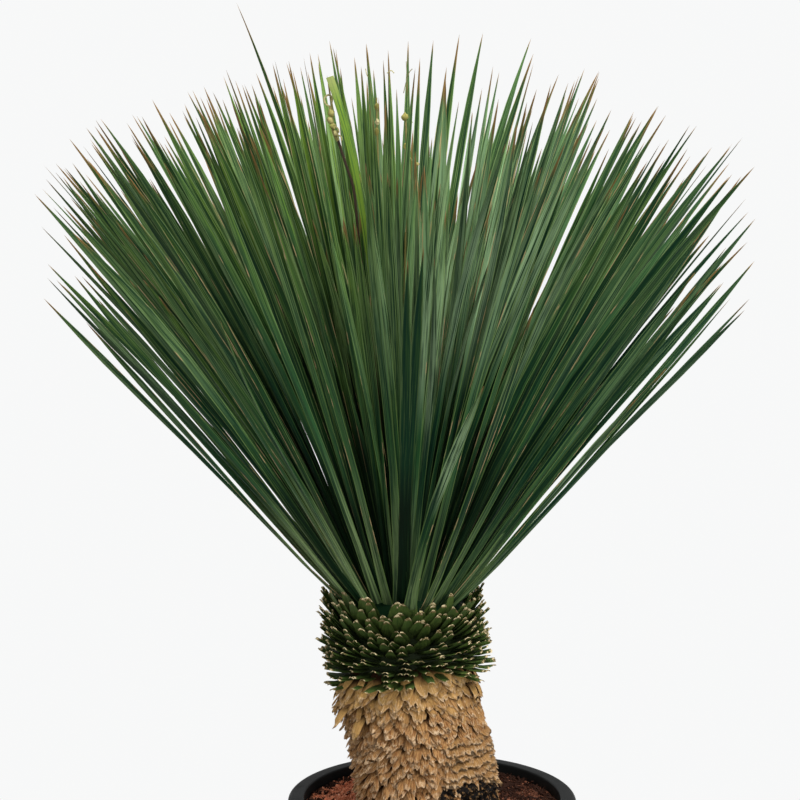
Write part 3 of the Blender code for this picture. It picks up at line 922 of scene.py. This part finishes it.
def addBlade(bunch, template, angle, turn, length, number, tone, arch=0.0, bow=0.0, wave=0.0, sag=0.0,
             roll=0.0, twist=0.0, width=1.0, slim=0.0, spring=0.0):
    out, sideways = outward(turn), outward(turn + math.pi / 2)
    tipDistance = crown["domeRadius"] + length
    rootBend = crown["rootBend"] * (angle / crown["strayAngle"]) ** 2
    rootDistance = (crown["pointDepth"] + 0.005) / math.cos(angle) - rootBend * 0.75
    start = max(crown["domeRadius"] - crown["sink"], rootDistance)

    def shape(across, over, along):
        distance = blend(start, tipDistance, along)
        bent, spot = alongBlade(angle, turn, arch, distance)
        heading = bent + arch * (distance / fullReach)
        direction = out * math.sin(heading) + up * math.cos(heading)
        swing = bow * along * along + wave * math.sin(math.tau * along)
        lift = sag * along * along - spring * along * (1 - along) ** 2 - rootBend * (1 - along) ** 8
        spot += sideways * swing + (out * math.cos(heading) - up * math.sin(heading)) * lift
        side = Matrix.Rotation(roll + twist * along, 3, direction) @ sideways
        ridge = side.cross(direction)
        half = crown["width"] * width / 2 * between(bladeWidth, along) * (1 - slim * (1 - along))
        thick = crown["thick"] * between(bladeDepth, along)
        return spot + side * across * half - ridge * (over * thick - abs(across) * half * 0.30)

    addCopy(bunch, template, shape, number, tone)


def parted(angle, turn):
    # a blade's lean, moved to one side where it would close a slit
    facing = outward(turn).x
    seen = math.degrees(math.atan(math.tan(angle) * facing))
    for slit in crown["slits"]:
        if abs(seen - slit) < crown["slitHalf"]:
            seen = slit + math.copysign(crown["slitHalf"], seen - slit)
            return math.atan(math.tan(math.radians(seen)) / facing)
    return angle


def pictured(spot):
    # where the front view shows a point: its way in degrees and its distance from the fan's point
    view = (studio["aim"] - studio["eye"]).normalized()
    upright = Vector((1, 0, 0)).cross(view)
    rays = (spot - studio["eye"], fanPoint() - studio["eye"])
    flat = [Vector((ray.x, ray.dot(upright))) / ray.dot(view) for ray in rays]
    ray = flat[0] - flat[1]
    return math.degrees(math.atan2(ray.x, ray.y)), ray.length * rays[1].dot(view)


def opened(angle, turn, arch, bow):
    # the nearest lean that keeps the fan's openings free, and how far the blade may reach
    def closes(tried, reach):
        for share in (0.70, 0.78, 0.86, 0.93, 1.0):
            spot = alongBlade(tried, turn, arch, reach * share)[1]
            way, far = pictured(spot + outward(turn + math.pi / 2) * bow * share * share)
            if any(far > low and abs(way - middle) < half for middle, half, low in crown["openings"]):
                return True
        return False

    for change in (0, 0.5, -0.5, 1.0, -1.0, 1.5, -1.5):
        tried = abs(angle + math.radians(change))
        if not closes(tried, fullReach):
            return tried, fullReach
    reach = fullReach
    while closes(angle, reach):
        reach *= 0.97
    return angle, reach


def hides(angle, turn, arch, reach):
    # whether a blade's upper part stands before the flower stalks
    for share in (0.80, 0.86, 0.92, 0.97, 1.0):
        spot = alongBlade(angle, turn, arch, reach * share)[1]
        for left, right, low in crown["kept"]:
            if left < spot.x < right and spot.z > low and spot.y < crown["keptFrom"]:
                return True
    return False


def bladeTone(rng, lean, before, outerness, stray):
    # how hidden, how pale with painted sheen and some random bloom, and how fresh a green a blade is
    width = crown["litWidths"][lean > crown["litLean"]]
    lit = math.exp(-((lean - crown["litLean"]) / width) ** 2)
    sheenAndBloom = (1.05 * lit - 0.02) * (1 - 0.30 * before)
    sheenAndBloom = limited(sheenAndBloom + rng.gauss(0, 0.26) * (1 - 0.55 * before))
    young = 1.25 * math.exp(-((lean - crown["freshLean"]) / crown["freshWidth"]) ** 2) * (1 - 0.75 * before)
    fresh = limited(young * rng.uniform(0.3, 1.0) + rng.gauss(0, 0.10))
    hidden = limited((0.995 - outerness) * 2.4 + rng.gauss(0, 0.05) + (0 if stray else 0.14))
    return hidden, sheenAndBloom, fresh


def addFan(bunch, template, rng):
    for index in range(crown["strays"] + crown["count"]):
        stray = index < crown["strays"]
        share = max(0, index - crown["strays"] + 0.5) / crown["count"]
        angle = math.acos(1 - (1 - share) * (1 - math.cos(crown["halfAngle"])))
        turn = index * goldenAngle + rng.uniform(-0.11, 0.11)
        outerness = angle / crown["halfAngle"]
        angle = abs(angle + rng.gauss(0, crown["scatter"]))
        if stray:
            angle += (crown["strayAngle"] - crown["halfAngle"]) * rng.uniform(0.55, 1)
        if index >= crown["strays"] / 3:
            angle *= 1 - crown["frontNarrowing"] * max(0, -math.sin(turn)) ** 2 * outerness
        angle = parted(angle, turn)
        arch = crown["arch"] * outerness * rng.uniform(0.75, 1.1) * (crown["strayArch"] if stray else 1)
        bow = min(max(rng.gauss(0, crown["bow"]), -crown["bowLimit"]), crown["bowLimit"])
        angle, limit = opened(angle, turn, arch, bow)
        out = outward(turn)
        before = max(0, -out.y) * outerness
        reach = min(limit, crown["farthest"] / math.sin(angle + arch))
        tall = rng.random() < crown["tall"] * (1.05 - 0.50 * out.x) * (1 + 0.3 * outerness) or before > 0.45
        reach *= rng.uniform(*crown["tallest" if tall else "others"])
        if 0 < math.sin(angle + arch) * out.x < crown["dipTo"] and rng.random() < crown["dipShare"]:
            reach *= crown["dipReach"]
        while hides(angle, turn, arch, reach):
            reach *= 0.98
        tone = bladeTone(rng, math.sin(angle) * out.x, before, outerness, stray)
        facing = frontRoll(turn)
        addBlade(
            bunch, template, angle, turn, reach - crown["domeRadius"], rng.random(), tone, arch=arch, bow=bow,
            wave=rng.gauss(0, crown["wave"]),
            sag=rng.gauss(0, crown["sag"]),
            roll=facing * rng.uniform(0.1, 0.6) + rng.gauss(0, 0.32),
            twist=facing * 0.45 + rng.uniform(-1, 1) * crown["twist"],
            width=rng.uniform(0.76, 1.14),
            slim=max(0.55 * min(1, tone[0] * 1.6), 0.55 * abs(out.x) * outerness),
            spring=crown["spring"] * outerness * rng.uniform(0.2, 1.1))


def addSides(bunch, template, rng):
    for way in (-1, 1):
        for index in range(crown["sideCount"]):
            share = (index + 0.5) / crown["sideCount"]
            lowest = way < 0 and share > crown["lowestFrom"]
            seen = blend(crown["sideFrom"], crown["sideTo"][way], share) + rng.gauss(0, math.radians(0.5))
            widest = min(0.85, math.acos(min(math.tan(seen) / math.tan(crown["sideLimit"]), 1)))
            offset = widest * rng.uniform(-1, 1) * (0.3 if lowest else 1)
            lean = math.atan(math.tan(seen) / math.cos(offset))
            arch = crown["arch"] * rng.uniform(0.1, 0.8)
            turn = offset + (0 if way > 0 else math.pi)
            farthest = crown["farthest"] / math.sin(lean)
            reach = min(fullReach, farthest) * rng.uniform(0.84, 0.98)
            if lowest:
                reach = farthest * 0.975
            facing = frontRoll(turn)
            tone = (max(0, rng.uniform(-0.3, 0.3)), rng.uniform(0, 0.4), 0)
            angle = parted(lean - arch, turn)
            addBlade(
                bunch, template, angle, turn, reach - crown["domeRadius"], rng.random(), tone, arch=arch,
                bow=rng.gauss(0, 0.008), wave=rng.gauss(0, crown["wave"]),
                roll=facing * rng.uniform(-0.1, 0.3), twist=facing * rng.uniform(0.6, 0.9),
                width=rng.uniform(0.85, 1.1), slim=crown["sideSlim"],
                spring=crown["spring"] * rng.uniform(0, 0.6))


def addTall(bunch, template, rng):
    for degrees, reach in tallBlades:
        offset = rng.uniform(-0.9, 0.9)
        lean = math.atan(math.tan(math.radians(abs(degrees))) / math.cos(offset))
        turn = offset + (0 if degrees > 0 else math.pi)
        arch = min(crown["arch"], lean * 0.4)
        addBlade(
            bunch, template, lean - arch, turn, reach - crown["domeRadius"], rng.random(),
            (1 if abs(degrees) < 28 else 0.5, rng.uniform(0, 0.35), rng.uniform(0, 0.4)),
            arch=arch, wave=rng.gauss(0, crown["wave"]), roll=frontRoll(turn) * 0.9 + rng.gauss(0, 0.3),
            width=rng.uniform(0.85, 1.1), slim=0.5)


def makeCrown(material):
    rng = random.Random(crown["seed"])
    template = grownBar(bladeSection, bladeShares, pointed=True)
    bunch = emptyMesh()
    # the dome that the blades stand in, painted in the full shade of the blades by a hidden tone of 1
    point = fanPoint()
    radius = crown["domeRadius"]
    edge = math.asin(crown["domeEdge"] / radius)
    outline = [(0, crownBase + gap), (crown["domeEdge"], crownBase + gap)]
    for ring in range(crown["domeRings"] + 1):
        angle = edge * (1 - ring / crown["domeRings"])
        outline.append((radius * math.sin(angle), point.z + radius * math.cos(angle)))
    lathe(bunch, outline, crown["domeSteps"], (point.x, 0, 0), tone=(1, 0, 0))
    addFan(bunch, template, rng)
    addSides(bunch, template, rng)
    addTall(bunch, template, rng)
    # the one blade at the left that stands far above the rest
    addBlade(
        bunch, template, math.radians(8.4), math.pi, 0.728, 0.97, (0, 0, 0.1), arch=math.radians(4.3), roll=1.0,
        width=0.62)
    for turn, length, bow in darkBlades:
        addBlade(bunch, template, math.radians(35.5), turn, length, 0.30, (0.6, 0, -0.45), bow=bow)
    addPiece("blade_crown", bunch, material, "leaf", "leaf_crown", sharp=24)


# Spent flower stalks

flowerColours = {
    "stem": (0.028, 0.016, 0.007),
    "bud": (0.320, 0.290, 0.065),
    "pale": (0.540, 0.480, 0.240),
}
flowerSizes = {
    "sides": 6,  # of a stem
    "stemSteps": 18,
    "bladeSteps": 14,
    "lumps": 0.45,  # how uneven a bud is
    "cutWidth": 0.0088,
    "cutThick": 0.0036,
}
# each is a path that a round stem follows, with its thickness and its tone: budding, pale, leafy
stems = (
    (0.0032, (0, 0, 0), (
        (-0.046, -0.045, 0.560), (-0.066, -0.120, 0.820), (-0.084, -0.160, 0.975),
        (-0.0885, -0.170, 1.025), (-0.0925, -0.168, 1.060), (-0.1010, -0.165, 1.086),
        (-0.1095, -0.160, 1.112))),
    (0.0042, (0.75, 0.25, 0), (
        (-0.1095, -0.160, 1.112), (-0.1140, -0.160, 1.120), (-0.1160, -0.160, 1.130),
        (-0.1175, -0.160, 1.142), (-0.1180, -0.160, 1.150))),
    (0.0021, (0.55, 0.8, 0), (
        (-0.1180, -0.160, 1.150), (-0.1235, -0.161, 1.153), (-0.1248, -0.161, 1.159),
        (-0.1205, -0.161, 1.163), (-0.1160, -0.160, 1.160), (-0.1168, -0.159, 1.154))),
    (0.0018, (0.45, 0.5, 0), ((-0.1150, -0.163, 1.128), (-0.1100, -0.166, 1.126), (-0.1085, -0.167, 1.121))),
    (0.0018, (0.45, 0.5, 0), ((-0.1130, -0.163, 1.118), (-0.1065, -0.166, 1.117), (-0.1055, -0.167, 1.112))),
    (0.0024, (0.45, 0.1, 0), (
        (-0.038, -0.045, 0.560), (-0.036, -0.110, 0.820), (-0.0340, -0.150, 1.000), (-0.0325, -0.160, 1.090),
        (-0.0340, -0.160, 1.140))),
    (0.0012, (0.8, 0.2, 0), ((-0.0340, -0.160, 1.134), (-0.0300, -0.162, 1.138), (-0.0262, -0.163, 1.132))),
    (0.0010, (0.5, 0.6, 0), ((-0.0325, -0.162, 1.098), (-0.0260, -0.164, 1.090), (-0.0210, -0.165, 1.086))),
    (0.0020, (0.5, 0.1, 0), ((-0.0620, -0.150, 1.000), (-0.0655, -0.158, 1.120), (-0.0665, -0.160, 1.160))),
    (0.0011, (0.3, 0.9, 0), ((-0.0545, -0.160, 1.187), (-0.0500, -0.161, 1.190), (-0.0465, -0.161, 1.187))),
    (0.0010, (0.3, 0.9, 0), ((-0.0785, -0.160, 1.192), (-0.0775, -0.161, 1.187), (-0.0760, -0.161, 1.183))),
    (0.0009, (0.1, 0.4, 0), ((-0.0360, -0.160, 1.165), (-0.0310, -0.161, 1.185), (-0.0262, -0.161, 1.192))),
    (0.0007, (0.1, 0.4, 0), ((-0.0322, -0.160, 1.180), (-0.0330, -0.161, 1.200))),
)
# each is a bud's middle, its half size and its tone
buds = (
    ((-0.1172, -0.163, 1.1425), (0.0036, 0.0034, 0.0044), (0.85, 0.2, 0)),
    ((-0.1185, -0.163, 1.1350), (0.0034, 0.0034, 0.0040), (0.80, 0.4, 0)),
    ((-0.1150, -0.163, 1.1275), (0.0036, 0.0034, 0.0036), (0.75, 0.2, 0)),
    ((-0.1120, -0.163, 1.1200), (0.0030, 0.0030, 0.0034), (0.70, 0.5, 0)),
    ((-0.0345, -0.163, 1.1385), (0.0036, 0.0034, 0.0042), (1.0, 0.15, 0)),
    ((-0.0330, -0.163, 1.1060), (0.0034, 0.0032, 0.0042), (1.0, 0.0, 0)),
    ((-0.0418, -0.163, 1.1050), (0.0024, 0.0024, 0.0036), (0.95, 0.0, 0)),
    ((-0.0205, -0.165, 1.0858), (0.0022, 0.0022, 0.0022), (0.9, 0.3, 0)),
    ((-0.0662, -0.163, 1.1500), (0.0026, 0.0026, 0.0042), (0.55, 0.0, 0)),
    ((-0.0655, -0.163, 1.1330), (0.0024, 0.0024, 0.0036), (0.1, 1.0, 0)),
    ((-0.0660, -0.163, 1.1220), (0.0024, 0.0024, 0.0050), (0.5, 0.0, 0)),
)
# the path of the bright cut blade beside the left stalk
cutBlade = (
    (-0.030, -0.040, 0.560), (-0.060, -0.120, 0.860), (-0.0780, -0.155, 1.010), (-0.0925, -0.165, 1.093),
    (-0.1060, -0.168, 1.145), (-0.1185, -0.166, 1.183),
)


def flowerFinish():
    finish = Finish("spent_flower", flowerColours, "stem", Specular_IOR_Level=0.2)
    across, along, number = finish.attribute("spot")
    budding, pale, leafy = finish.attribute("tone")
    grain = finish.noise(finish.place(), 420, 3, 0.6)
    streaks = finish.noise(finish.vector(across * 1.3, along * 1.1, number), 3.0, 3, 0.75)
    finish.coat(budding, "bud")
    finish.coat(pale * grain.step(0.25, 0.55), "pale")
    leaf = finish.mix(streaks.step(0.3, 0.6), leafColours["green"], leafColours["fresh"])
    finish.coat(leafy, finish.mix(along.step(0.80, 1.0) * 0.35, leaf, "pale"))
    return finish.complete(0.5 + grain * 0.2, grain, 0.0006, 0.6)


def onPath(path, share):
    # a point on a smooth line through a path's points
    place = share * (len(path) - 1)
    index = min(int(place), len(path) - 2)
    corners = [min(max(index + step, 0), len(path) - 1) for step in (-1, 0, 1, 2)]
    before, start, end, after = (Vector(path[corner]) for corner in corners)
    t = place - index
    line = 2 * start + t * (end - before)
    line += t * t * (2 * before - 5 * start + 4 * end - after)
    return 0.5 * (line + t**3 * (3 * start - before - 3 * end + after))


def addTube(bunch, template, path, width, thick, tone, number=0.5):
    def shape(across, over, share):
        ahead = (onPath(path, min(share + 0.02, 1)) - onPath(path, max(share - 0.02, 0))).normalized()
        side = ahead.cross(Vector((0, -1, 0))).normalized()
        return onPath(path, share) + side * across * width / 2 + side.cross(ahead) * over * thick / 2

    addCopy(bunch, template, shape, number, tone)


def evenShares(steps):
    return tuple(step / steps for step in range(steps + 1))


def makeFlowers(material):
    bunch = emptyMesh()
    ring = [outward(math.tau * side / flowerSizes["sides"]).xy for side in range(flowerSizes["sides"])]
    stem = grownBar(ring, evenShares(flowerSizes["stemSteps"]))
    for width, tone, path in stems:
        addTube(bunch, stem, path, width, width, tone)
    bm = bmesh.new()
    bmesh.ops.create_icosphere(bm, subdivisions=2, radius=1.0)
    ball = toMesh(bm)
    for middle, half, tone in buds:
        def shape(across, over, high):
            uneven = noise.noise(Vector((across, over, high)) * 1.7 + Vector(middle) * 900)
            local = Vector((across * half[0], over * half[1], high * half[2]))
            return Vector(middle) + local * (1 + flowerSizes["lumps"] * uneven)

        addCopy(bunch, ball, shape, 0.5, tone)
    blade = grownBar(bladeSection, evenShares(flowerSizes["bladeSteps"]))
    addTube(bunch, blade, cutBlade, flowerSizes["cutWidth"], flowerSizes["cutThick"], (0, 0, 1), 0.2)
    addPiece("flower_remnants", bunch, material, "leaf", sharp=40)


# Studio

studio = {
    "backdrop": (0.935, 0.940, 0.940),
    "above": 0.62,  # how bright the air is overhead, beside the backdrop
    "below": 0.20,
    "lights": (("key_light", (1.0, -1.7, 3.3), 90), ("side_light", (2.2, -2.7, 1.5), 25)),
    "lightSize": 1.4,
    "litSpot": (0, 0, 0.8),
    "floorRadius": 14.0,
    "paper": (0.80, 0.80, 0.80),
    "fade": (0.28, 0.70),  # distances between which the floor's paper gives way to the backdrop
    "eye": Vector((-0.040, -2.50, 1.1125)),
    "aim": Vector((-0.040, 0.0, 0.798)),
    "lens": 92.9,
}


def stand(thing, spot, aim):
    thing.location = spot
    thing.rotation_euler = (Vector(spot) - Vector(aim)).to_track_quat("Z", "Y").to_euler()


def makeFloor():
    bm = bmesh.new()
    bmesh.ops.create_circle(bm, cap_ends=True, segments=96, radius=studio["floorRadius"])
    floor = intoScene("studio_floor", toMesh(bm, "studio_floor"))
    paper = Finish("pale_paper", studio, "paper", Roughness=0.9, Specular_IOR_Level=0.1)
    paper.give(Base_Color=studio["paper"])
    x, y, z = paper.split(paper.place())
    away = (x * x + y * y) ** 0.5
    glow = paper.node("ShaderNodeEmission", inputs={"Color": studio["backdrop"], "Strength": 1.0})
    lit = Wire(paper, paper.shader.outputs[0])
    mixed = paper.node("ShaderNodeMixShader", inputs={0: away.step(*studio["fade"]), 1: lit, 2: glow})
    paper.feed(paper.tree.nodes["Material Output"].inputs["Surface"], mixed)
    floor.data.materials.append(paper.material)
    floor.visible_diffuse = False


def makeStudio():
    scene = bpy.context.scene
    scene.view_settings.view_transform = "Standard"
    scene.world = bpy.data.worlds.new("studio_air")
    scene.world.use_nodes = True
    air = Tree(scene.world.node_tree)
    x, y, z = air.split(air.node("ShaderNodeTexCoord", output="Generated"))
    overhead = z.step(0.25, 0.65) * (1 - studio["above"])
    underneath = (0 - z).step(0.10, 0.30) * (1 - studio["below"])
    sky = air.tree.nodes["Background"]
    air.feed(sky.inputs["Color"], studio["backdrop"])
    air.feed(sky.inputs["Strength"], 1 - overhead - underneath)
    for name, spot, power in studio["lights"]:
        lamp = bpy.data.lights.new(name, "AREA")
        lamp.shape = "DISK"
        lamp.size = studio["lightSize"]
        lamp.energy = power
        stand(intoScene(name, lamp), spot, studio["litSpot"])
    makeFloor()
    camera = intoScene("camera", bpy.data.cameras.new("camera"))
    camera.data.lens = studio["lens"]
    stand(camera, studio["eye"], studio["aim"])
    scene.camera = camera
    print("studio: floor,", len(studio["lights"]), "lights and camera")


makeStudio()
makePot(potFinish())
bark = barkFinish()
makeSoil(bark)
makeChips(bark)
makeTrunk(dryFinish())
makeGreenBand(stubFinish())
makeCrown(leafFinish())
makeFlowers(flowerFinish())
